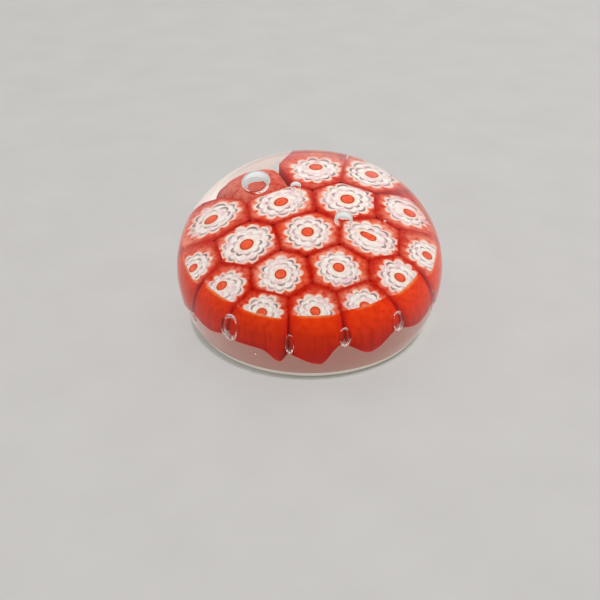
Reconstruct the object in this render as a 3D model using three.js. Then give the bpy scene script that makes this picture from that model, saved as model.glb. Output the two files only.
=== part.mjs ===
// Millefiori glass paperweight: a clear glass dome on a flat ground base, with nineteen
// flower canes standing upright inside it. Millimetres, +Z up, and the origin is the
// centre of the flat base. Each cane is a casing, a twelve-petal rosette and a core.
import * as THREE from "three";

// Dome
const domeRadius = 28; // at its widest ring, the girth
const girthHeight = 11.7; // of the widest ring above the base
const crownRise = 23; // from the girth to the top
const baseTuck = 3.5; // how much the flat base is smaller than the girth, all round
const groundBevel = 0.4; // ground off the edge of the base
const partingHeight = 3.6; // where the crown's glass meets the base's glass

// Cluster of canes
const clearWall = 7; // clear glass from the girth to the cluster
const clusterTop = 14.8; // height of the middle cane
const topCurveRadius = 47.5; // sphere that the cane tops lie on
const clusterTurn = THREE.MathUtils.degToRad(2.7); // of the hexagonal pack about +Z
const ringSqueeze = 0.045; // how much nearer the outer canes sit than an even pitch
const wallRoll = 1.8; // how far the outer walls roll in from their bulge to their rim
const wallFlare = 0.8; // how much the bulge stands out from the foot of the walls
const shoulderDrop = 3.4; // height of the rolled part of the outer walls

// One cane
const casingWall = 0.45; // thinnest casing, on the flat sides
const rimWall = 0.4; // casing left outside a flower that the rim cuts
const flowerPastCentre = 0.6; // flower left outside the middle of a corner cane
const petals = 12;
const petalDepth = 0.4; // from a petal's tip to the valley between two petals
const coreRadius = 0.97;
const sittings = {
  // x and y by which a cane sits off the even pack
  centre_cane: [-0.3, 0.5],
  inner_cane_1: [-0.1, 0.6],
  inner_cane_2: [1.1, 1.2],
  inner_cane_3: [0.9, 0.6],
  inner_cane_4: [-0.3, -0.5],
  inner_cane_5: [-0.3, -0.5],
  inner_cane_6: [-0.4, 0.6],
  outer_cane_1: [0.1, 0.6],
  outer_cane_2: [0.5, 1.6],
  outer_cane_3: [-0.2, 0.3],
  outer_cane_4: [1.5, 1.1],
  outer_cane_5: [1.6, -1.0],
  outer_cane_6: [0.1, 0.4],
  outer_cane_7: [-0.2, -1.0],
  outer_cane_8: [-0.9, 0],
  outer_cane_9: [0.3, -0.3],
  outer_cane_10: [0.3, -0.8],
  outer_cane_11: [-0.5, 0.8],
  outer_cane_12: [0.4, 0.9],
};
const closedCane = 4; // the outer cane, counted from 0, whose casing closed over its flower
const closedCaneRadius = 4.8; // of its round casing, which fills its place in the pack only in part
const closedFaceDepth = 2.5; // casing over that flower

// Gaps between pieces
const caneGap = 0.2; // cane to cane
const pocketGap = 0.3; // canes to the crown's glass
const layerGap = 0.05; // casing to rosette, and rosette to core

// How finely round shapes are cut
const caneSides = 2 * petals;
const domeSides = 60;
const crownSteps = 12;
const skirtSteps = 3;
const shoulderSteps = 4;
const ceilingSteps = 4;
const cornerSharpness = 8; // power of the soft minimum that rounds a cane's corners

const clusterRadius = domeRadius - clearWall;
const rimRadius = clusterRadius - wallRoll;
const flowerCutRadius = rimRadius - rimWall - layerGap;
const cornerCaneRadius = flowerCutRadius - flowerPastCentre;
const canePitch = cornerCaneRadius / 2 / (1 - ringSqueeze);
const flowerRadius = (canePitch * (1 - ringSqueeze) - caneGap) / 2 - casingWall - layerGap;

const glass = {
  clear: new THREE.MeshStandardMaterial({
    color: 0xeef2ef,
    roughness: 0.03,
    metalness: 0,
    transparent: true,
    opacity: 0.35,
  }),
  casing: new THREE.MeshStandardMaterial({ color: 0xd23a0c, roughness: 0.15, metalness: 0 }),
  rosette: new THREE.MeshStandardMaterial({ color: 0xf6e6dc, roughness: 0.2, metalness: 0 }),
  core: new THREE.MeshStandardMaterial({ color: 0xe04a36, roughness: 0.15, metalness: 0 }),
};

const part = new THREE.Group();

function addMesh(name, geometry, material) {
  const mesh = new THREE.Mesh(geometry, material);
  mesh.name = name;
  part.add(mesh);
}

// Height of the cane tops at a distance from the axis.
function topHeight(radius) {
  return clusterTop - topCurveRadius + Math.sqrt(topCurveRadius ** 2 - radius ** 2);
}

// Radius of the dome's outer surface below the girth: an ellipse that passes the girth
// upright and reaches the base radius at the base.
function skirtRadius(height) {
  const baseShare = (domeRadius - baseTuck) / domeRadius;
  const drop = (girthHeight - height) / girthHeight;
  return domeRadius * Math.sqrt(1 - drop ** 2 * (1 - baseShare ** 2));
}

// Points up the outer walls of the cluster, from the foot through the bulge to the rim,
// moved outwards by a clearance. x is the radius and y the height.
function wallPoints(clearance) {
  const rimHeight = topHeight(rimRadius);
  const shoulderHeight = Math.max(rimHeight - shoulderDrop, (rimHeight + partingHeight) / 2);
  const foot = new THREE.Vector2(clusterRadius - wallFlare + clearance, partingHeight);
  const points = [foot];
  for (let step = 0; step <= shoulderSteps; step++) {
    const angle = (step / shoulderSteps) * (Math.PI / 2);
    points.push(
      new THREE.Vector2(
        rimRadius + clearance + wallRoll * Math.cos(angle),
        shoulderHeight + (rimHeight - shoulderHeight) * Math.sin(angle),
      ),
    );
  }
  return points;
}

// Places of the canes in the hexagonal pack, seen from above, in rings from the middle.
function canePlaces() {
  const places = [];
  for (let ring = 0; ring <= 2; ring++) {
    const count = Math.max(1, 6 * ring);
    for (let index = 0; index < count; index++) {
      const angle = (index / count) * 2 * Math.PI;
      const betweenCorners = ring === 2 && index % 2 === 1;
      const spacing = betweenCorners ? Math.sqrt(3) : ring;
      const evenRadius = spacing * canePitch;
      const radius = evenRadius * (1 - ringSqueeze * (spacing / 2) ** 2);
      const name = ["centre_cane", "inner_cane_", "outer_cane_"][ring] + (ring ? index + 1 : "");
      const [alongX, alongY] = sittings[name] ?? [0, 0];
      places.push({
        name,
        ring,
        closed: ring === 2 && index === closedCane,
        centre: new THREE.Vector2(radius, 0)
          .rotateAround(new THREE.Vector2(), angle + clusterTurn)
          .add(new THREE.Vector2(alongX, alongY)),
        latticePoint: new THREE.Vector2(evenRadius, 0).rotateAround(new THREE.Vector2(), angle),
      });
    }
  }
  return places;
}

function neighboursOf(cane, canes) {
  return canes.filter(
    (other) =>
      other !== cane &&
      other.latticePoint.distanceTo(cane.latticePoint) < canePitch * 1.1,
  );
}

// Distance from a point inside a circle about the axis to that circle, along a direction.
function reachToCircle(centre, direction, circleRadius) {
  const along = centre.dot(direction);
  return Math.sqrt(circleRadius ** 2 - centre.lengthSq() + along ** 2) - along;
}

function softMinimum(values) {
  const sum = values.reduce((total, value) => total + value ** -cornerSharpness, 0);
  return sum ** (-1 / cornerSharpness);
}

function directions() {
  return Array.from({ length: caneSides }, (_, side) => {
    const angle = (side / caneSides) * 2 * Math.PI;
    return new THREE.Vector2(Math.cos(angle), Math.sin(angle));
  });
}

// Distances from a cane's middle to its casing, side by side: half way to each neighbour,
// and no further out than the wall of the cluster. The closed cane is round besides.
function casingOutline(cane, neighbours, wallRadius) {
  return directions().map((direction) => {
    const limits = [reachToCircle(cane.centre, direction, wallRadius)];
    if (cane.closed) limits.push(closedCaneRadius);
    for (const other of neighbours) {
      const across = other.centre.clone().sub(cane.centre);
      const facing = direction.dot(across.clone().normalize());
      if (facing > 0.05) limits.push((across.length() - caneGap) / 2 / facing);
    }
    return softMinimum(limits);
  });
}

// Distances from a cane's middle to its petals, tip and valley in turn. A flower is cut off
// flat where the rolled rim covers it, and flattened where a neighbour presses on its casing.
function rosetteOutline(cane, neighbours, growth) {
  const casingReach = casingOutline(cane, neighbours, clusterRadius);
  return directions().map((direction, side) => {
    const petalReach = flowerRadius - (side % 2 === 1 ? petalDepth : 0);
    const cutReach = reachToCircle(cane.centre, direction, flowerCutRadius);
    return Math.min(petalReach, cutReach, casingReach[side] - casingWall - layerGap) + growth;
  });
}

function coreOutline(cane, growth) {
  return directions().map((direction) => {
    const cutReach = reachToCircle(cane.centre, direction, flowerCutRadius) - rimWall / 2;
    return Math.min(coreRadius, cutReach - layerGap) + growth;
  });
}

// A ring of points round a cane's middle, at a level or on the surface of the cane tops.
function ringAt(cane, outline, heightAt) {
  return directions().map((direction, side) => {
    const place = direction.clone().multiplyScalar(outline[side]).add(cane.centre);
    return new THREE.Vector3(place.x, place.y, heightAt(place.length()));
  });
}

const atFoot = () => partingHeight;
const belowTop = (depth) => (radius) => topHeight(radius) - depth;

// A closed surface through rings of points. With poles it runs from the first pole to the
// last one, and without them the last ring joins the first.
function skin(rings, poles) {
  const points = rings.flat();
  const faces = [];
  const joins = poles ? rings.length - 1 : rings.length;
  for (let ring = 0; ring < joins; ring++) {
    const here = ring * caneSides;
    const there = ((ring + 1) % rings.length) * caneSides;
    for (let side = 0; side < caneSides; side++) {
      const next = (side + 1) % caneSides;
      faces.push(here + side, here + next, there + next);
      faces.push(here + side, there + next, there + side);
    }
  }
  if (poles) {
    const lastRing = (rings.length - 1) * caneSides;
    for (let side = 0; side < caneSides; side++) {
      const next = (side + 1) % caneSides;
      faces.push(points.length, next, side);
      faces.push(points.length + 1, lastRing + side, lastRing + next);
    }
    points.push(...poles);
  }
  const geometry = new THREE.BufferGeometry().setFromPoints(points);
  geometry.setIndex(faces);
  geometry.computeVertexNormals();
  return geometry;
}

function poleOf(cane, heightAt) {
  return new THREE.Vector3(cane.centre.x, cane.centre.y, heightAt(cane.centre.length()));
}

// The outer surface of a casing, from the foot up to its top edge. Only the outer ring's
// casings follow the wall of the cluster, and the others meet nothing but their neighbours.
function casingOutside(cane, neighbours) {
  const inOuterRing = cane.ring === 2;
  const levels = inOuterRing
    ? wallPoints(0).slice(0, -1)
    : [new THREE.Vector2(clusterRadius, partingHeight)];
  const rings = levels.map((level) =>
    ringAt(cane, casingOutline(cane, neighbours, level.x), () => level.y),
  );
  const topLimit = inOuterRing ? rimRadius : clusterRadius;
  rings.push(ringAt(cane, casingOutline(cane, neighbours, topLimit), belowTop(0)));
  return rings;
}

// The casing is a tube round the flower, open below. A closed one also covers the flower.
function casingGeometry(cane, neighbours) {
  const outside = casingOutside(cane, neighbours);
  const hole = rosetteOutline(cane, neighbours, layerGap);
  const holeFoot = ringAt(cane, hole, atFoot);
  if (!cane.closed) return skin([...outside, ringAt(cane, hole, belowTop(0)), holeFoot]);
  const ceiling = belowTop(closedFaceDepth - layerGap);
  return skin(
    [ringAt(cane, hole, ceiling), holeFoot, ...outside],
    [poleOf(cane, ceiling), poleOf(cane, belowTop(0))],
  );
}

function rosetteGeometry(cane, neighbours, flowerTop) {
  const petalEdge = rosetteOutline(cane, neighbours, 0);
  const coreHole = coreOutline(cane, layerGap);
  return skin([
    ringAt(cane, petalEdge, atFoot),
    ringAt(cane, petalEdge, flowerTop),
    ringAt(cane, coreHole, flowerTop),
    ringAt(cane, coreHole, atFoot),
  ]);
}

function coreGeometry(cane, flowerTop) {
  const edge = coreOutline(cane, 0);
  return skin(
    [ringAt(cane, edge, atFoot), ringAt(cane, edge, flowerTop)],
    [poleOf(cane, atFoot), poleOf(cane, flowerTop)],
  );
}

// Dome above the parting plane, with a pocket below that fits round the whole cluster.
function crownGeometry() {
  const wall = wallPoints(pocketGap);
  const ceiling = [];
  for (let step = 0; step < ceilingSteps; step++) {
    const radius = (step / ceilingSteps) * rimRadius;
    ceiling.push(new THREE.Vector2(radius, topHeight(radius) + pocketGap));
  }
  const rim = new THREE.Vector2(rimRadius + pocketGap, topHeight(rimRadius) + pocketGap);
  const shoulder = wall.slice(1, -1).reverse();
  const profile = [...ceiling, rim, ...shoulder, wall[0]];
  for (let step = 0; step < skirtSteps; step++) {
    const height = partingHeight + (step / skirtSteps) * (girthHeight - partingHeight);
    profile.push(new THREE.Vector2(skirtRadius(height), height));
  }
  for (let step = 0; step <= crownSteps; step++) {
    const angle = (step / crownSteps) * (Math.PI / 2);
    const radius = step === crownSteps ? 0 : domeRadius * Math.cos(angle);
    profile.push(new THREE.Vector2(radius, girthHeight + crownRise * Math.sin(angle)));
  }
  return upright(new THREE.LatheGeometry(profile, domeSides));
}

// Disc of clear glass under the canes, flat above and below.
function baseGeometry() {
  const baseRadius = domeRadius - baseTuck;
  const profile = [
    new THREE.Vector2(0, 0),
    new THREE.Vector2(baseRadius - groundBevel, 0),
    new THREE.Vector2(skirtRadius(groundBevel), groundBevel),
    new THREE.Vector2(skirtRadius(partingHeight / 2), partingHeight / 2),
    new THREE.Vector2(skirtRadius(partingHeight), partingHeight),
    new THREE.Vector2(0, partingHeight),
  ];
  return upright(new THREE.LatheGeometry(profile, domeSides));
}

// A lathe turns its profile about +Y, and this stands it up about +Z.
function upright(geometry) {
  return geometry.rotateX(Math.PI / 2);
}

addMesh("clear_crown", crownGeometry(), glass.clear);
addMesh("clear_base", baseGeometry(), glass.clear);

const canes = canePlaces();
for (const cane of canes) {
  const neighbours = neighboursOf(cane, canes);
  const flowerTop = belowTop(cane.closed ? closedFaceDepth : 0);
  addMesh(cane.name + "_casing", casingGeometry(cane, neighbours), glass.casing);
  addMesh(cane.name + "_rosette", rosetteGeometry(cane, neighbours, flowerTop), glass.rosette);
  addMesh(cane.name + "_core", coreGeometry(cane, flowerTop), glass.core);
}

export default part;
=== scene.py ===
"""Millefiori glass paperweight: the looks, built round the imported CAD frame. Metres, +Z up."""
import math
import random

import bmesh
import bpy
from mathutils import Euler, Matrix, Vector


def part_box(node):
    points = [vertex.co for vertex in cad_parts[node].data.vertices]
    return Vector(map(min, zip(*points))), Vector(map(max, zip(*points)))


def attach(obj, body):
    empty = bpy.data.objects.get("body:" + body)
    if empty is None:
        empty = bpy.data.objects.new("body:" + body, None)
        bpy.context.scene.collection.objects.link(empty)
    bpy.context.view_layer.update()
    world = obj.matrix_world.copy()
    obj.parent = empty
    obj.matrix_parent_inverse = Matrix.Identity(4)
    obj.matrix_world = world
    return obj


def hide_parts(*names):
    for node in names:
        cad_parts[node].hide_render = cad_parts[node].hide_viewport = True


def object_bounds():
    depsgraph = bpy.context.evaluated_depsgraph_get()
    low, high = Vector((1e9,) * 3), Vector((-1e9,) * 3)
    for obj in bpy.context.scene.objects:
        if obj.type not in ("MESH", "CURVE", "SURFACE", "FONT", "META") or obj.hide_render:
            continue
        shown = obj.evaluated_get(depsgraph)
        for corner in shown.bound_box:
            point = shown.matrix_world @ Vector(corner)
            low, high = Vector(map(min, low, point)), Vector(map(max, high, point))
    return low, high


MM = 0.001

# Dome, with the CAD's own values where the frame doesn't hold them
BASE_TUCK = 3.5 * MM  # how much the flat base is smaller than the girth
GIRTH_HEIGHT = 11.7 * MM
GROUND_BEVEL = 0.15 * MM
GROUND_BAND = 1.3 * MM  # height of the matt ring round the foot
DOME_SIDES = 192

# Cluster of canes
TOP_CURVE = 47.5 * MM  # radius of the sphere that the cane tops lie on
SHOULDER_DROP = 4.0 * MM  # height over which a wall rolls out from its rim
CANE_SIDES = 144
PETALS = 12
INNER_PETALS = 9
RIM = 19.0  # plain outer cane's rim and bulge in mm, as under QUIRKS
BULGE = 21.0
NEIGHBOURS = 12.6 * MM  # canes whose middles are nearer than this press each other
PRESSED = 0.06 * MM  # by how much two of them overlap where they meet
FLOWER = 4.05 * MM  # radius of a flower to its petal tips
FLOWER_MARGIN = 0.35 * MM  # least casing between a flower and a groove
RIM_MARGIN = 0.1 * MM  # between a flower and the rim that cuts it
RIM_LIP = 0.03 * MM  # width of the rounding at the rim
FLOWER_DEPTH = 3.4 * MM
HOLE_DEPTH = 3.5 * MM  # of the hole in the casing that the flower fills
FIT = 0.01 * MM  # between a piece and the one round it
FOOT_LIP = 0.3 * MM  # height of the rounding at a wall's foot
FOOT_WIDTH = 1.5 * MM  # of the underside that follows a wall's foot
FOOT_SLOPE = 3.0 * MM  # over which the underside rises inward from it
FAR = 30 * MM  # further than any cane reaches
UNDERCUT = 0.15 * MM  # by how much a cane's lower end is hollow
CORE = 0.25  # of the flower's radius
# Down from the flat of a cane's top to its side: share of its reach, depth in mm, shade, which
# is painted shade, deep red, near the grooves and paler painted reflection where it is lower
INNER_EDGE = [(1, 1.5, 1), (1, 0.2, 0.95), (0.97, 0.08, 0.85), (0.91, 0.02, 0.7), (0.84, 0, 0.45)]
FREE_EDGE = [(1, 3.2, 0.7), (0.97, 1.9, 0.6), (0.87, 0.9, 0.55), (0.7, 0.3, 0.55), (0.5, 0, 0.6)]
LAYER_STEP = 0.015 * MM  # least width of a layer where the rim cuts a flower

# What makes each cane different, in mm and degrees unless said otherwise:
# nudge: x and y off its place in the CAD pack
# flower: size of its flower against the others
# squash: how much narrower the flower is one way, and the direction of its long way
# core: how far the core is drawn out to a drop, and the drop's direction
# shift: x and y of the core from the cane's middle
# drift: x and y of the rest of the flower from the cane's middle
# rim: radius about the dome's axis at which the wall rolls over the flower
# bulge: widest radius of the wall
# lean: how steeply the outer side of its face falls away, as a slope
# foot: azimuth and height of the wall's lowest point, then the height at the groove and the
#   width of the rise to it, for the left and for the right
QUIRKS = {
    "centre_cane": dict(flower=1.14, squash=(0.08, 90)),
    "inner_cane_1": dict(
        nudge=(0.1, -0.4), flower=1.1, core=(2.1, 150), shift=(0, 0.2), squash=(0.07, 150)
    ),
    "inner_cane_2": dict(flower=1.18, squash=(0.07, 90)),
    "inner_cane_3": dict(flower=1.17, squash=(0.09, 60)),
    "inner_cane_4": dict(flower=1.24, squash=(0.08, 70)),
    "inner_cane_5": dict(flower=1.06, squash=(0.05, 90)),
    "inner_cane_6": dict(drift=(0, -0.3)),
    "outer_cane_1": dict(rim=19.4, flower=0.88, foot=(3, 5.3, 6.6, 11, 6.4, 11)),
    "outer_cane_2": dict(
        nudge=(-0.5, 0.2),
        drift=(-0.4, 0.1),
        rim=19.2,
        bulge=21.8,
        flower=1.01,
        lean=0.35,
        shift=(0.3, 0.1),
        squash=(0.16, 100),
    ),
    "outer_cane_3": dict(
        nudge=(-0.2, 0.5),
        drift=(-0.2, -0.2),
        rim=20.6,
        bulge=22.3,
        flower=0.88,
        lean=0.15,
        squash=(0.11, 140),
    ),
    "outer_cane_4": dict(rim=20.6, bulge=22.0, flower=0.9, lean=0.16, shift=(0, 0.8)),
    "outer_cane_5": dict(nudge=(1.3, 0.2), bulge=20.0),
    "outer_cane_6": dict(
        nudge=(0.1, 0.4), drift=(0.5, 0), rim=19.3, flower=1.02, lean=0.2, squash=(0.1, 60)
    ),
    "outer_cane_7": dict(nudge=(-0.4, 0), rim=19.4, flower=0.86, foot=(-178, 5.2, 6.4, 11, 6.0, 11)),
    "outer_cane_8": dict(
        drift=(0.3, -1.0), rim=18.3, flower=0.97, foot=(-145.5, 5.3, 6.4, 11.8, 6.2, 8.9)
    ),
    "outer_cane_9": dict(rim=18.6, flower=0.97, foot=(-104.4, 3.3, 5.5, 5.5, 5.7, 3.8)),
    "outer_cane_10": dict(rim=17.7, flower=0.95, foot=(-84.5, 3.1, 5.8, 13, 7.2, 6.5)),
    "outer_cane_11": dict(rim=17.2, flower=0.94, foot=(-58.5, 4.2, 7.4, 11, 8.0, 12.8)),
    "outer_cane_12": dict(rim=17.7, flower=0.96, foot=(-26.4, 5.5, 7.2, 13, 6.8, 10.6)),
}
PLAIN_FOOT = (5.0, 6.5, 11)  # tip height, groove height and width of the other canes' feet
UNDERSIDE = 8.0 * MM  # height of the lower ends of the inner canes and of the closed one
CLOSED_CANE = "outer_cane_5"  # its casing closed over its flower
ROUND_REACH = 4.9 * MM  # of the closed cane, and of the outer corners next to it

# Bubbles at the walls, all on one ring about the axis: one in each groove but those beside the
# closed cane, and a small one under a foot. Azimuth, height, half width and half height in mm
GROOVE_BUBBLE_RING = 21.2 * MM
GROOVE_BUBBLES = [
    (18, 7.4, 0.7, 1.5),
    (48, 7.8, 0.9, 1.8),
    (77, 7.2, 0.6, 1.4),
    (168, 7.8, 0.9, 1.8),
    (-159.5, 6.2, 0.95, 1.9),
    (-130.5, 7.9, 1.95, 2.6),
    (-99.2, 7.3, 0.95, 2.0),
    (-72.7, 8.4, 1.2, 1.95),
    (-43.3, 8.5, 1.3, 1.95),
    (-12, 7.2, 0.8, 1.8),
    (-117, 4.2, 0.4, 0.35),
]
# Bubbles over the cane tops: x, y, gap under them, half width and half height, in mm
TOP_BUBBLES = [
    (-7.6, 12.4, 0.1, 2.1, 1.5),
    (5.2, 2.4, 0.1, 1.5, 1.15),
    (-2.0, 11.6, 0.1, 0.8, 0.55),
    (-2.0, 7.0, 0.1, 0.45, 0.35),
    (-13.1, -10.8, 0.1, 0.4, 0.3),
    (4.4, -11.2, 0.1, 0.3, 0.3),
    (11.2, 4.8, 0.3, 0.25, 0.25),
]

# Camera, from the photograph's view
CAMERA_ELEVATION = math.radians(29.4)
CAMERA_DISTANCE = 7.494  # in dome radii, from the dome's middle
CAMERA_TILT = math.radians(32.07)
CAMERA_PAN = math.radians(0.626)
CAMERA_LENS = 59.5

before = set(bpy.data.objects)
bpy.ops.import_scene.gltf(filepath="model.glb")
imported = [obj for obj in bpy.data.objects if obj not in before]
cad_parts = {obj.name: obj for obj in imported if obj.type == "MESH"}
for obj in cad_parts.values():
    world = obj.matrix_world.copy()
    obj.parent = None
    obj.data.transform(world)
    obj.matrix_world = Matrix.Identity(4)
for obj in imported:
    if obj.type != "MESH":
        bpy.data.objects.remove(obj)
cad_low, cad_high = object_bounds()
radius = (cad_high.x - cad_low.x) / 2
height = cad_high.z
cluster_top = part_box("centre_cane_casing")[1].z


# ---------------------------------------------------------------- materials


def new_material(name):
    material = bpy.data.materials.new(name)
    material.use_nodes = True
    nodes = material.node_tree.nodes
    nodes.clear()
    output = nodes.new("ShaderNodeOutputMaterial")
    return material, nodes, material.node_tree.links, output


def principled(nodes, **sockets):
    shader = nodes.new("ShaderNodeBsdfPrincipled")
    for name, value in sockets.items():
        shader.inputs[name.replace("_", " ")].default_value = value
    return shader


def noise_ramp(nodes, links, scale, stops, stretch=(1, 1, 1), detail=3.0, warp=0.0):
    """Noise in object space through a colour ramp. Scale is in turns per metre."""
    place = nodes.new("ShaderNodeTexCoord")
    mapping = nodes.new("ShaderNodeMapping")
    mapping.inputs["Scale"].default_value = stretch
    texture = nodes.new("ShaderNodeTexNoise")
    texture.inputs["Scale"].default_value = scale
    texture.inputs["Detail"].default_value = detail
    texture.inputs["Distortion"].default_value = warp
    ramp = nodes.new("ShaderNodeValToRGB")
    fill_ramp(ramp, stops)
    links.new(place.outputs["Object"], mapping.inputs["Vector"])
    links.new(mapping.outputs["Vector"], texture.inputs["Vector"])
    links.new(texture.outputs["Fac"], ramp.inputs["Fac"])
    return ramp


def fill_ramp(ramp, stops):
    elements = ramp.color_ramp.elements
    while len(elements) > len(stops):
        elements.remove(elements[-1])
    while len(elements) < len(stops):
        elements.new(1.0)
    for element, (place, colour) in zip(elements, stops):
        element.position = place
        element.color = (*colour, 1.0)


def attribute_ramp(nodes, links, name, stops):
    """A mesh attribute through a colour ramp."""
    attribute = nodes.new("ShaderNodeAttribute")
    attribute.attribute_name = name
    ramp = nodes.new("ShaderNodeValToRGB")
    fill_ramp(ramp, stops)
    links.new(attribute.outputs["Fac"], ramp.inputs["Fac"])
    return ramp


def multiplied(nodes, links, first, second):
    mix = nodes.new("ShaderNodeMix")
    mix.data_type = "RGBA"
    mix.blend_type = "MULTIPLY"
    mix.inputs["Factor"].default_value = 1.0
    links.new(first, mix.inputs[6])
    links.new(second, mix.inputs[7])
    return mix.outputs[2]


def cane_glass(name, stops, grain, tints=(), patches=None, painted_glow=0.0, **noise_options):
    """Opaque coloured glass that sits in clear glass, so it has no gloss of its own. Tints are
    mesh attributes, each with the colours that it multiplies the glass by. Patches are the
    colours of a coarser noise that multiplies it too. Painted glow is an emission in the glass's
    own colour: painted light that stands in for the light that comes through it."""
    material, nodes, links, output = new_material(name)
    # The glow is painted light: emission in the glass's colour, though the glass is no lamp
    shader = principled(nodes, Roughness=0.65, Specular_IOR_Level=0.0, Emission_Strength=painted_glow)
    colour = noise_ramp(nodes, links, grain, stops, **noise_options).outputs["Color"]
    for attribute, tint_stops in tints:
        tint = attribute_ramp(nodes, links, attribute, tint_stops)
        colour = multiplied(nodes, links, colour, tint.outputs["Color"])
    if patches:
        patch = noise_ramp(nodes, links, 190, patches, detail=2.0)
        colour = multiplied(nodes, links, colour, patch.outputs["Color"])
    links.new(colour, shader.inputs["Base Color"])
    links.new(colour, shader.inputs["Emission Color"])
    links.new(shader.outputs["BSDF"], output.inputs["Surface"])
    return material


def casing_top_glass():
    """The casing round a flower: speckled red under a pale pink haze that is painted reflection,
    and painted shade, deep red, in the grooves.
    """
    return cane_glass(
        "casing_top_glass",
        [
            (0.36, (0.78, 0.26, 0.18)),
            (0.46, (0.92, 0.60, 0.52)),
            (0.55, (0.97, 0.82, 0.76)),
            (0.64, (1.0, 1.0, 1.0)),
        ],
        grain=1400,
        detail=12.0,
        # Coarse patches where the painted haze is thinner and the red deeper
        patches=[(0.38, (0.95, 0.50, 0.32)), (0.52, (1.0, 1.1, 1.05))],
        tints=[
            (
                "shade",
                [
                    # Low shades carry the painted reflection, high ones the painted shade of the
                    # grooves
                    (0.0, (0.96, 0.37, 0.27)),
                    (0.4, (0.90, 0.26, 0.18)),
                    (0.75, (0.66, 0.055, 0.03)),
                    (1.0, (0.58, 0.022, 0.01)),
                ],
            )
        ],
    )


def casing_wall_glass():
    """The casing down a wall: orange red, with painted highlights along its top edge and its foot's
    thin edge, painted shade, deep red, low down and towards the grooves, and a painted glow.
    """
    return cane_glass(
        "casing_wall_glass",
        [(0.38, (0.84, 0.62, 0.6)), (0.5, (0.93, 0.84, 0.8)), (0.6, (1.0, 1.0, 1.0))],
        grain=1500,
        stretch=(1, 1, 0.08),
        detail=6.0,
        # Painted glow: emission that lightens the walls, which the lamps light less than the tops
        painted_glow=0.05,
        tints=[
            (
                "shade",
                [
                    # Shade 0 is painted highlight at the rim and the foot's edge; higher shades are
                    # painted shade
                    (0.0, (0.95, 0.30, 0.07)),
                    (0.12, (0.90, 0.050, 0.001)),
                    (0.4, (0.81, 0.024, 0.001)),
                    (0.7, (0.62, 0.009, 0.001)),
                    (1.0, (0.31, 0.003, 0.001)),
                ],
            )
        ],
    )


def petal_glass():
    return cane_glass(
        "petal_glass",
        [(0.38, (0.92, 0.62, 0.65)), (0.48, (0.97, 0.82, 0.78)), (0.62, (0.98, 0.91, 0.83))],
        grain=1100,
        detail=6.0,
        tints=[("shade", [(0.0, (1, 1, 1)), (0.5, (1, 0.90, 0.84)), (1.0, (0.98, 0.54, 0.42))])],
    )


def seam_glass():
    """The seam under a petal, mauve grey where its ink is strong and lost where it is weak."""
    return cane_glass(
        "seam_glass",
        [(0.3, (0.82, 0.72, 0.70)), (0.5, (1.0, 0.95, 0.95)), (0.65, (0.90, 1.0, 0.92))],
        grain=1500,
        tints=[
            (
                "ink",
                [(0.0, (0.95, 0.82, 0.78)), (0.45, (0.54, 0.41, 0.38)), (1.0, (0.22, 0.135, 0.13))],
            )
        ],
    )


def cream_glass():
    return cane_glass(
        "cream_glass",
        [(0.3, (0.95, 0.68, 0.50)), (0.7, (0.97, 0.84, 0.68))],
        grain=1200,
    )


def core_glass():
    return cane_glass(
        "core_glass",
        [(0.3, (0.86, 0.06, 0.02)), (0.7, (0.97, 0.17, 0.07))],
        grain=1600,
    )


def core_rim_glass():
    return cane_glass(
        "core_rim_glass",
        [(0.3, (0.42, 0.03, 0.015)), (0.7, (0.60, 0.06, 0.03))],
        grain=1400,
    )


def clear_glass(name, dimness=0.0):
    """Clear glass that refracts what is seen through it and lets the lamps' light straight in.
    Dimness is the share of a bubble's skin that shows what is behind it unbent and pinkish."""
    material, nodes, links, output = new_material(name)
    glass = principled(
        nodes, Roughness=0.0, IOR=1.5, Transmission_Weight=1.0, Base_Color=(0.985, 0.99, 0.985, 1)
    )
    glass.inputs["Specular Tint"].default_value = (0.25, 0.25, 0.25, 1)
    wear = noise_ramp(
        nodes, links, 220, [(0.45, (0.0, 0.0, 0.0)), (0.75, (0.03, 0.03, 0.03))], detail=6.0
    )
    links.new(wear.outputs["Color"], glass.inputs["Roughness"])
    dim = nodes.new("ShaderNodeBsdfTransparent")
    dim.inputs["Color"].default_value = (0.80, 0.62, 0.62, 1)
    skin = nodes.new("ShaderNodeMixShader")
    skin.inputs["Fac"].default_value = dimness
    links.new(glass.outputs["BSDF"], skin.inputs[1])
    links.new(dim.outputs["BSDF"], skin.inputs[2])
    clear = nodes.new("ShaderNodeBsdfTransparent")
    path = nodes.new("ShaderNodeLightPath")
    for_bounces = nodes.new("ShaderNodeMixShader")
    links.new(path.outputs["Is Diffuse Ray"], for_bounces.inputs["Fac"])
    links.new(skin.outputs["Shader"], for_bounces.inputs[1])
    links.new(clear.outputs["BSDF"], for_bounces.inputs[2])
    for_shadows = nodes.new("ShaderNodeMixShader")
    links.new(path.outputs["Is Shadow Ray"], for_shadows.inputs["Fac"])
    links.new(for_bounces.outputs["Shader"], for_shadows.inputs[1])
    links.new(clear.outputs["BSDF"], for_shadows.inputs[2])
    links.new(for_shadows.outputs["Shader"], output.inputs["Surface"])
    return material


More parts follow.
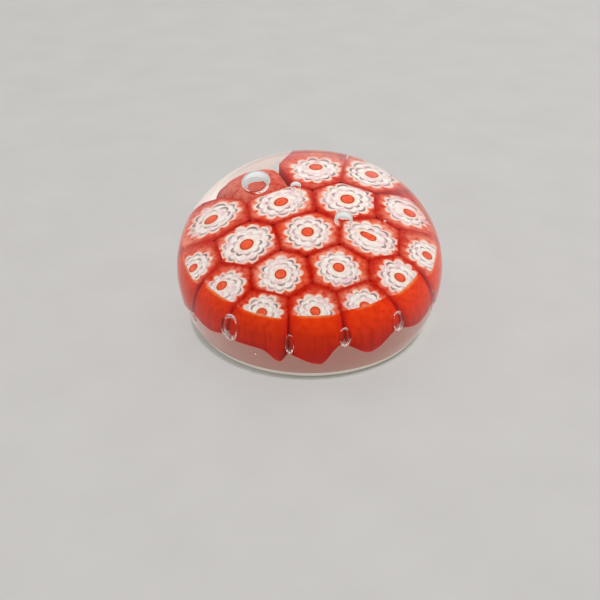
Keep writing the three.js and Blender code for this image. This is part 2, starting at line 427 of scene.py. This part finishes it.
def ground_glass_painted_glow():
    """The flat base and its bevel, ground matt and pale, with a painted glow: a faint emission
    that stands in for the light that the dome focuses onto it.
    """
    material, nodes, links, output = new_material("ground_glass_painted_glow")
    # Painted light: the emission stands in for light focused through the dome
    shader = principled(nodes, Roughness=0.6, Specular_IOR_Level=0.3, Emission_Strength=0.12)
    shader.inputs["Emission Color"].default_value = (1.0, 0.97, 0.75, 1)
    colour = noise_ramp(
        nodes, links, 700, [(0.3, (0.93, 0.84, 0.78)), (0.7, (0.97, 0.91, 0.86))], detail=8.0
    )
    grit = nodes.new("ShaderNodeBump")
    grit.inputs["Strength"].default_value = 0.15
    grit.inputs["Distance"].default_value = 0.05 * MM
    links.new(colour.outputs["Color"], grit.inputs["Height"])
    links.new(grit.outputs["Normal"], shader.inputs["Normal"])
    links.new(colour.outputs["Color"], shader.inputs["Base Color"])
    links.new(shader.outputs["BSDF"], output.inputs["Surface"])
    return material


def floor_paper():
    material, nodes, links, output = new_material("floor_paper")
    shader = principled(nodes, Roughness=0.8, Specular_IOR_Level=0.2)
    colour = noise_ramp(
        nodes, links, 60, [(0.3, (0.60, 0.585, 0.57)), (0.7, (0.63, 0.615, 0.60))]
    )
    links.new(colour.outputs["Color"], shader.inputs["Base Color"])
    links.new(shader.outputs["BSDF"], output.inputs["Surface"])
    return material


# ---------------------------------------------------------------- mesh building


def loft(name, rings, materials, strips=None, poles=None, attributes=None, sharp=40):
    """A closed mesh through rings of points. Poles close its two ends, or else its last ring
    joins its first. Strips gives the material of each band. Attributes are named lists with a
    value for each point of each ring."""
    sides = len(rings[0])
    points = [point for ring in rings for point in ring]
    bands = len(rings) - 1 if poles else len(rings)
    strips = strips or [0] * bands
    faces = []
    slots = []
    for band in range(bands):
        here = band * sides
        there = (band + 1) % len(rings) * sides
        for side in range(sides):
            after = (side + 1) % sides
            faces.append((here + side, here + after, there + after, there + side))
            slots.append(strips[band])
    if poles:
        last = (len(rings) - 1) * sides
        for side in range(sides):
            after = (side + 1) % sides
            faces.append((len(points), after, side))
            faces.append((len(points) + 1, last + side, last + after))
            slots += [strips[0], strips[-1]]
        points += poles
    mesh = bpy.data.meshes.new(name)
    mesh.from_pydata(points, [], faces)
    for material in materials:
        mesh.materials.append(material)
    mesh.polygons.foreach_set("material_index", slots)
    mesh.polygons.foreach_set("use_smooth", [True] * len(faces))
    for label, values_by_ring in (attributes or {}).items():
        values = [value for ring in values_by_ring for value in ring]
        values += [values_by_ring[0][0], values_by_ring[-1][0]] if poles else []
        mesh.attributes.new(label, "FLOAT", "POINT").data.foreach_set("value", values)
    sharpen(mesh, math.radians(sharp))
    piece = bpy.data.objects.new(name, mesh)
    bpy.context.collection.objects.link(piece)
    return piece


def sharpen(mesh, angle):
    """Marks the edges where the surface really bends."""
    work = bmesh.new()
    work.from_mesh(mesh)
    for edge in work.edges:
        edge.smooth = edge.calc_face_angle(0.0) < angle
    work.to_mesh(mesh)
    work.free()


def hand_over(piece, slot, *nodes):
    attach(piece, "root")
    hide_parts(*nodes)


# ---------------------------------------------------------------- clear glass


def dome_profile():
    """Points (radius, height) up the dome, from the flat base to just below its top, and how
    many of the bands between them are ground."""
    base_radius = radius - BASE_TUCK
    base_share = base_radius / radius

    def skirt(level):
        drop = (GIRTH_HEIGHT - level) / GIRTH_HEIGHT
        return radius * math.sqrt(1 - drop**2 * (1 - base_share**2))

    flat_radius = base_radius - GROUND_BEVEL
    profile = [(flat_radius * share, 0.0) for share in (0.25, 0.5, 0.75, 0.9, 0.99, 1.0)]
    for step in range(5):
        level = GROUND_BEVEL + (GROUND_BAND - GROUND_BEVEL) * step / 4
        profile.append((skirt(level), level))
    ground_bands = len(profile) - 1
    for step in range(1, 21):
        level = GROUND_BAND + (GIRTH_HEIGHT - GROUND_BAND) * step / 21
        profile.append((skirt(level), level))
    crown_rise = height - GIRTH_HEIGHT
    for step in range(60):
        turn = math.radians(90 * step / 60)
        profile.append((radius * math.cos(turn), GIRTH_HEIGHT + crown_rise * math.sin(turn)))
    return profile, ground_bands


def circle(ring_radius, level, sides):
    return [
        Vector(
            (
                ring_radius * math.cos(2 * math.pi * side / sides),
                ring_radius * math.sin(2 * math.pi * side / sides),
                level,
            )
        )
        for side in range(sides)
    ]


def add_bubbles(mesh, bubbles, slot):
    """Hollows inside the glass: closed shells whose faces point into the hollow."""
    work = bmesh.new()
    work.from_mesh(mesh)
    for centre, half_width, half_height in bubbles:
        size = Matrix.Diagonal((half_width, half_width, half_height, 1))
        made = bmesh.ops.create_uvsphere(
            work, u_segments=40, v_segments=24, radius=1, matrix=Matrix.Translation(centre) @ size
        )
        shell = {face for vertex in made["verts"] for face in vertex.link_faces}
        bmesh.ops.reverse_faces(work, faces=list(shell))
        for face in shell:
            face.smooth = True
            face.material_index = slot
    work.to_mesh(mesh)
    work.free()


def groove_bubbles():
    bubbles = []
    for azimuth, level, half_width, half_height in GROOVE_BUBBLES:
        turn = math.radians(azimuth)
        place = Vector((math.cos(turn), math.sin(turn), 0)) * GROOVE_BUBBLE_RING
        place.z = level * MM
        bubbles.append((place, half_width * MM, half_height * MM))
    return bubbles


def top_bubbles():
    bubbles = []
    for x, y, gap, half_width, half_height in TOP_BUBBLES:
        level = top_height(math.hypot(x, y) * MM) + (gap + half_height) * MM
        bubbles.append((Vector((x * MM, y * MM, level)), half_width * MM, half_height * MM))
    return bubbles


def make_dome():
    profile, ground_bands = dome_profile()
    rings = [circle(ring, level, DOME_SIDES) for ring, level in profile]
    strips = [1] * ground_bands + [0] * (len(rings) - 1 - ground_bands)
    poles = [Vector((0, 0, 0)), Vector((0, 0, height))]
    layers = [clear_glass("clear_glass"), ground_glass_painted_glow(), clear_glass("bubble_glass", 0.4)]
    dome = loft("glass_dome", rings, layers, strips, poles=poles, sharp=25)
    add_bubbles(dome.data, top_bubbles(), 0)
    add_bubbles(dome.data, groove_bubbles(), 2)
    hand_over(dome, "clear_glass", "clear_crown", "clear_base")
    return dome


# ---------------------------------------------------------------- canes


class Cane:
    """A cane's place in the pack, and how far it reaches to each side."""

    def __init__(self, name, ring):
        quirks = QUIRKS.get(name, {})
        low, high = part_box(name + "_core")
        self.name = name
        self.outer = ring == 2 and name != CLOSED_CANE
        self.centre = Vector(((low.x + high.x) / 2, (low.y + high.y) / 2))
        self.centre += Vector(quirks.get("nudge", (0, 0))) * MM
        self.random = random.Random(name)
        self.flower = FLOWER * quirks.get("flower", 1.0)
        self.rim = quirks.get("rim", RIM) * MM
        self.bulge = quirks.get("bulge", BULGE) * MM
        self.lean = quirks.get("lean", 0.0)
        self.core = quirks.get("core", (1.0, 0))
        self.shift = Vector(quirks.get("shift", (0, 0))) * MM
        self.drift = Vector(quirks.get("drift", (0, 0))) * MM
        self.squash = quirks.get("squash", (self.random.uniform(0, 0.05), self.random.uniform(0, 180)))
        self.azimuth = math.degrees(math.atan2(self.centre.y, self.centre.x))
        tip, groove, width = PLAIN_FOOT
        self.foot = quirks.get("foot", (self.azimuth, tip, groove, width, groove, width))
        turns = [2 * math.pi * side / CANE_SIDES for side in range(CANE_SIDES)]
        self.directions = [Vector((math.cos(turn), math.sin(turn))) for turn in turns]

    def meet(self, canes):
        """Finds the half way lines to the cane's neighbours."""
        near = [c for c in canes if c is not self and (c.centre - self.centre).length < NEIGHBOURS]
        self.between = []
        for direction in self.directions:
            limits = [ROUND_REACH if self.name == CLOSED_CANE else FAR]
            for other in near:
                across = other.centre - self.centre
                facing = direction.dot(across.normalized())
                if facing > 0.1:
                    limits.append((across.length + PRESSED) / 2 / facing)
                if self.outer and other.name == CLOSED_CANE:
                    corner = (across.normalized() + self.centre.normalized()).normalized()
                    limits.append(ROUND_REACH / max(direction.dot(corner), 0.1))
            self.between.append(soft_minimum(limits, 18))

    def reach(self, direction, circle_radius):
        """Distance from the cane's middle to a circle about the dome's axis."""
        along = self.centre.dot(direction)
        inside = circle_radius**2 - self.centre.length_squared + along**2
        return math.sqrt(max(inside, 0.0)) - along

    def outline(self, wall_radius, scale=1.0):
        return [
            scale * soft_minimum([limit, self.reach(direction, wall_radius)], 6)
            for direction, limit in zip(self.directions, self.between)
        ]

    def places(self, outline):
        return [self.centre + way * reach for way, reach in zip(self.directions, outline)]

    def on_top(self, outline, depth=0.0):
        """Points round the cane on the surface of its top, or below it."""
        return [Vector((*place, self.top(place) - depth)) for place in self.places(outline)]

    def at_levels(self, outline, levels):
        return [Vector((*place, level)) for place, level in zip(self.places(outline), levels)]

    def top(self, place):
        outward = (place - self.centre).dot(self.centre.normalized())
        drop = self.lean * max(outward / self.flower + 1, 0.0) ** 2 / 2 * self.flower
        return top_height(place.length) - drop

    def foot_level(self, place):
        """Height of the lower edge of an outer cane's wall, or of an inner cane's end."""
        if not self.outer:
            return UNDERSIDE
        tip_azimuth, tip, left, left_width, right, right_width = self.foot
        azimuth = math.degrees(math.atan2(place.y, place.x))
        offset = (azimuth - tip_azimuth + 180) % 360 - 180
        groove, width = (left, left_width) if offset < 0 else (right, right_width)
        level = (groove - (groove - tip) * math.exp(-((offset / width) ** 2))) * MM
        inward = min(max((self.bulge - FOOT_WIDTH - place.length) / FOOT_SLOPE, 0.0), 1.0)
        return level + (UNDERSIDE - level) * inward


def soft_minimum(values, sharpness):
    return sum(value**-sharpness for value in values) ** (-1 / sharpness)


def top_height(distance):
    return cluster_top - TOP_CURVE + math.sqrt(TOP_CURVE**2 - distance**2)


def all_canes():
    canes = [Cane("centre_cane", 0)]
    canes += [Cane(f"inner_cane_{index + 1}", 1) for index in range(6)]
    canes += [Cane(f"outer_cane_{index + 1}", 2) for index in range(12)]
    for cane in canes:
        cane.meet(canes)
    return canes


class Tier:
    """One ring of petals, each a little wider or longer than the next."""

    def __init__(self, chance, petals, wobble):
        turn = chance.uniform(0, 1)
        edges = [k + turn + chance.uniform(-0.14, 0.14) for k in range(petals)]
        self.lengths = [1 + chance.uniform(-wobble, wobble) for _ in range(petals)]
        strengths = [chance.choice((0.2, 0.5, 0.7, 1.0)) for _ in range(petals)]
        self.petal = []
        self.across = []  # from -1 at one side of the side's petal to 1 at the other
        for side in range(CANE_SIDES):
            place = (side / CANE_SIDES * petals - edges[0]) % petals + edges[0]
            petal = max(k for k in range(petals) if edges[k] <= place)
            after = edges[petal + 1] if petal + 1 < petals else edges[0] + petals
            self.petal.append(petal)
            self.across.append((place - edges[petal]) / (after - edges[petal]) * 2 - 1)
        self.ink = [
            strengths[petal] * (1 - 0.8 * across**4)
            for petal, across in zip(self.petal, self.across)
        ]

    def outline(self, size, depth):
        """Round petal ends with a valley between each two."""
        outline = []
        for petal, across in zip(self.petal, self.across):
            drop = 0.45 * across**2 + 0.55 * (1 - math.sqrt(1 - (0.98 * across) ** 2))
            outline.append(size * self.lengths[petal] * (1 - depth * drop))
        return outline


def core_outline(cane, growth=0.0):
    """Shares of the flower's radius to the edge of a round core that may sit off the middle,
    or be drawn out to a drop in one direction."""
    stretch, direction = cane.core
    shift = cane.shift / cane.flower
    outline = []
    for side, way in enumerate(cane.directions):
        facing = math.cos(2 * math.pi * side / CANE_SIDES - math.radians(direction))
        drawn = (stretch - 1) * max(facing, 0.0) ** 6
        reach = (CORE + growth) * (1 + drawn) / stretch**0.3
        along = shift.dot(way)
        outline.append(along + math.sqrt(reach**2 - shift.length_squared + along**2))
    return outline


def flower_outlines(cane):
    """Edges of the flower's layers from the core outwards, in metres from its middle, cut
    where the rim covers them and squeezed where a neighbour presses. Then the ink of its
    inner and outer seams."""
    squash, squash_angle = cane.squash
    inner = Tier(cane.random, INNER_PETALS, 0.08)
    outer = Tier(cane.random, PETALS, 0.055)
    tiers = [
        core_outline(cane),
        core_outline(cane, 0.07),
        inner.outline(0.47, 0.16),
        inner.outline(0.58, 0.30),
        outer.outline(0.735, 0.13),
        outer.outline(0.845, 0.23),
        outer.outline(1.0, 0.23),
    ]
    outlines = []
    for layer, tier in enumerate(tiers):
        drift = cane.drift if layer > 1 else Vector((0, 0))
        margin = LAYER_STEP * (len(tiers) - layer)
        outline = []
        for side, share in enumerate(tier):
            turned = 2 * (2 * math.pi * side / CANE_SIDES - math.radians(squash_angle))
            squeezed = 1 - squash * (1 - math.cos(turned))
            limit = cane.between[side] - FLOWER_MARGIN
            if cane.outer:
                limit = min(limit, cane.reach(cane.directions[side], cane.rim) - RIM_MARGIN)
            drifted = drift.dot(cane.directions[side])
            outline.append(min(cane.flower * share * squeezed + drifted, limit - margin))
        outlines.append(outline)
    for nearer, further in zip(outlines, outlines[1:]):
        for side in range(CANE_SIDES):
            further[side] = max(further[side], nearer[side] + LAYER_STEP)
    return outlines, [inner.ink, outer.ink]


def wall_levels(cane):
    """(radius, height) down an outer cane's wall, from just outside its rim to its bulge."""
    rim_height = top_height(cane.rim)
    roll = cane.bulge - cane.rim
    levels = []
    for step in range(1, 11):
        turn = math.radians(90 * step / 10)
        fall = 0.4 * (1 - math.cos(turn)) + 0.6 * step / 10
        levels.append((cane.rim + roll * math.sin(turn), rim_height - SHOULDER_DROP * fall))
    return levels


def groove_shades(cane, outline, shade, strength=0.6, power=6):
    """Painted shade round the cane, darker towards the grooves between it and its neighbours."""
    shades = []
    for limit, reach in zip(cane.between, outline):
        near = min(reach / limit, 1.0)
        shades.append(min(shade + strength * near**power, 1.0))
    return shades


def make_casing(cane, hole, wall_material, top_material):
    """A cane's casing, from under its foot up its wall, over its top edge and down into the
    hole that the flower fills."""
    rings = []
    shades = []
    strips = []
    wall, top = range(2)

    def add(ring, shade, strip=wall):
        rings.append(ring)
        shades.append(shade)
        strips.append(strip)

    # The shades are painted light: painted shade, deep red, under the cane and low on the wall,
    # lighter up it, and darker towards the grooves
    full = cane.outline(cane.bulge)
    for scale in (0.35, 0.7, 0.9):
        outline = cane.outline(cane.bulge, scale)
        levels = [cane.foot_level(place) + UNDERCUT for place in cane.places(outline)]
        add(cane.at_levels(outline, levels), [0.8] * CANE_SIDES)
    foot = [cane.foot_level(place) for place in cane.places(full)]
    # The foot's edge: a thin painted highlight for the light that shines through it
    add(cane.at_levels(cane.outline(cane.bulge, 0.975), foot), [0.05] * CANE_SIDES)
    lip = [level + FOOT_LIP for level in foot]
    if cane.outer:
        levels = wall_levels(cane)
        bulge_level = levels[-1][1]
        for step in range(6):
            rise = step / 6
            ring = [low + (bulge_level - low) * rise for low in lip]
            add(cane.at_levels(full, ring), groove_shades(cane, full, 0.7 - 0.35 * rise))
        for step, (wall_radius, level) in enumerate(reversed(levels)):
            outline = cane.outline(wall_radius)
            shade = groove_shades(cane, outline, 0.35 - 0.025 * step)
            add(cane.at_levels(outline, [level] * CANE_SIDES), shade)
        rim = cane.outline(cane.rim)
        # The rim and the top's edge: shade 0, a bright painted highlight along the cut
        add(cane.on_top([reach + RIM_LIP for reach in rim]), groove_shades(cane, rim, 0.0))
        edge = [reach * 0.985 for reach in rim]
        add(cane.on_top(edge), groove_shades(cane, edge, 0.0, 0.95), top)
    else:
        add(cane.at_levels(full, lip), [0.8] * CANE_SIDES)
        for scale, depth, shade in INNER_EDGE if hole else FREE_EDGE:
            edge = [scale * reach for reach in full]
            add(cane.on_top(edge, depth * MM), [shade] * CANE_SIDES, top)
    if hole:
        wide = [reach + FIT for reach in hole]
        # By the flower: paler with painted reflection on the inner canes, deeper red on the outer
        shade = 0.35 if cane.outer else 0.1
        add(cane.on_top(wide), [shade] * CANE_SIDES, top)
        add(cane.on_top(wide, HOLE_DEPTH), [shade] * CANE_SIDES, top)
    middle = sum(rings[-1], Vector()) / CANE_SIDES
    under = Vector((*cane.centre, cane.foot_level(cane.centre) + UNDERCUT))
    materials = [wall_material, top_material]
    piece = loft(
        cane.name + "_case",
        rings,
        materials,
        strips[:-1],
        poles=[under, middle],
        attributes={"shade": shades},
    )
    return piece


def make_petals(cane, outlines, inks, materials):
    """The rosette: a ring of layers round the core, from cream through two seams to the petals."""
    core, cream, tier_1, seam_1, tier_2, seam_2, tier_3 = range(7)
    petal, seam, light = range(3)
    widths = list(zip(outlines[seam_2], outlines[tier_3]))
    half_way = [inner + (outer - inner) * 0.45 for inner, outer in widths]
    plain = [0.0] * CANE_SIDES
    inner_ink, outer_ink = inks
    layers = [
        (cane.on_top(outlines[tier_3], FLOWER_DEPTH), 1.0, plain, petal),
        (cane.on_top(outlines[tier_3]), 1.0, plain, petal),
        (cane.on_top(half_way), 0.65, plain, petal),
        (cane.on_top(outlines[seam_2]), 0.1, outer_ink, seam),
        (cane.on_top(outlines[tier_2]), 0.0, [0.55 * ink for ink in outer_ink], petal),
        (cane.on_top(outlines[seam_1]), 0.0, [0.8 * ink for ink in inner_ink], seam),
        (cane.on_top(outlines[tier_1]), 0.0, [0.4 * ink for ink in inner_ink], petal),
        (cane.on_top(outlines[cream]), 0.0, plain, light),
        (cane.on_top(outlines[core]), 0.0, plain, light),
        (cane.on_top(outlines[core], FLOWER_DEPTH), 0.0, plain, petal),
    ]
    rings, shades, ink, strips = zip(*layers)
    attributes = {"shade": [[shade] * CANE_SIDES for shade in shades], "ink": ink}
    return loft(cane.name + "_petals", rings, materials, strips, attributes=attributes)


def make_heart(cane, core_edge, materials):
    """The core, with a darker rim."""
    middle = cane.centre + cane.shift

    def drawn_in(share):
        ring = []
        for place in cane.places([reach - FIT for reach in core_edge]):
            place = middle + (place - middle) * share
            ring.append(Vector((*place, cane.top(place))))
        return ring

    rings = [cane.on_top([reach - FIT for reach in core_edge], FLOWER_DEPTH)]
    rings += [drawn_in(share) for share in (1.0, 0.8, 0.4)]
    top = cane.top(middle)
    poles = [Vector((*middle, top - FLOWER_DEPTH)), Vector((*middle, top))]
    return loft(cane.name + "_heart", rings, materials, [1, 1, 0], poles=poles)


def make_canes():
    casing_layers = [casing_wall_glass(), casing_top_glass()]
    petal_layers = [petal_glass(), seam_glass(), cream_glass()]
    heart_layers = [core_glass(), core_rim_glass()]
    for cane in all_canes():
        nodes = [cane.name + "_rosette", cane.name + "_core"]
        if cane.name == CLOSED_CANE:
            case = make_casing(cane, None, *casing_layers)
            hand_over(case, "casing_glass", cane.name + "_casing", *nodes)
            continue
        outlines, inks = flower_outlines(cane)
        case = make_casing(cane, outlines[-1], *casing_layers)
        hand_over(case, "casing_glass", cane.name + "_casing")
        hand_over(make_petals(cane, outlines, inks, petal_layers), "petal_glass", nodes[0])
        hand_over(make_heart(cane, outlines[0], heart_layers), "core_glass", nodes[1])


# ---------------------------------------------------------------- studio


def make_camera():
    camera = bpy.data.objects.new("camera", bpy.data.cameras.new("camera"))
    bpy.context.collection.objects.link(camera)
    away = CAMERA_DISTANCE * radius
    camera.location = (
        0,
        -away * math.cos(CAMERA_ELEVATION),
        radius / 2 + away * math.sin(CAMERA_ELEVATION),
    )
    camera.rotation_euler = Euler((math.pi / 2 - CAMERA_TILT, 0, CAMERA_PAN))
    camera.data.lens = CAMERA_LENS
    camera.data.sensor_width = 36
    camera.data.clip_start = 0.01
    bpy.context.scene.camera = camera


def make_floor():
    mesh = bpy.data.meshes.new("floor")
    half = 4.0
    level = -0.02 * MM
    corners = [(-half, -half, level), (half, -half, level), (half, half, level), (-half, half, level)]
    mesh.from_pydata(corners, [], [(0, 1, 2, 3)])
    mesh.materials.append(floor_paper())
    floor = bpy.data.objects.new("floor", mesh)
    bpy.context.collection.objects.link(floor)


def make_lamp(name, place, size, power):
    """A softbox that lights the canes but shows no outline in the glass."""
    lamp = bpy.data.lights.new(name, "AREA")
    lamp.size = size
    lamp.energy = power
    light = bpy.data.objects.new(name, lamp)
    light.location = place
    light.rotation_euler = (-Vector(place)).to_track_quat("-Z", "Y").to_euler()
    light.visible_glossy = False
    light.visible_transmission = False
    light.visible_camera = False
    bpy.context.collection.objects.link(light)


def make_light():
    world = bpy.data.worlds.new("studio")
    world.use_nodes = True
    background = world.node_tree.nodes["Background"]
    background.inputs["Color"].default_value = (1.0, 0.99, 0.98, 1)
    nodes = world.node_tree.nodes
    links = world.node_tree.links
    direction = nodes.new("ShaderNodeTexCoord")
    parts = nodes.new("ShaderNodeSeparateXYZ")
    brightness = nodes.new("ShaderNodeMapRange")
    brightness.inputs["From Min"].default_value = -1.0
    brightness.inputs["To Min"].default_value = 0.15
    brightness.inputs["To Max"].default_value = 0.9
    links.new(direction.outputs["Generated"], parts.inputs["Vector"])
    links.new(parts.outputs["Y"], brightness.inputs["Value"])
    links.new(brightness.outputs["Result"], background.inputs["Strength"])
    bpy.context.scene.world = world
    make_lamp("key", (0.45, 0.2, 1.1), 0.6, 5.8)
    make_lamp("fill", (-0.35, -0.5, 0.9), 0.9, 1.6)


def make_scene_settings():
    scene = bpy.context.scene
    scene.view_settings.view_transform = "Standard"
    scene.cycles.max_bounces = 16
    scene.cycles.transmission_bounces = 16
    scene.cycles.transparent_max_bounces = 24


make_camera()
make_light()
make_floor()
make_dome()
make_canes()
make_scene_settings()
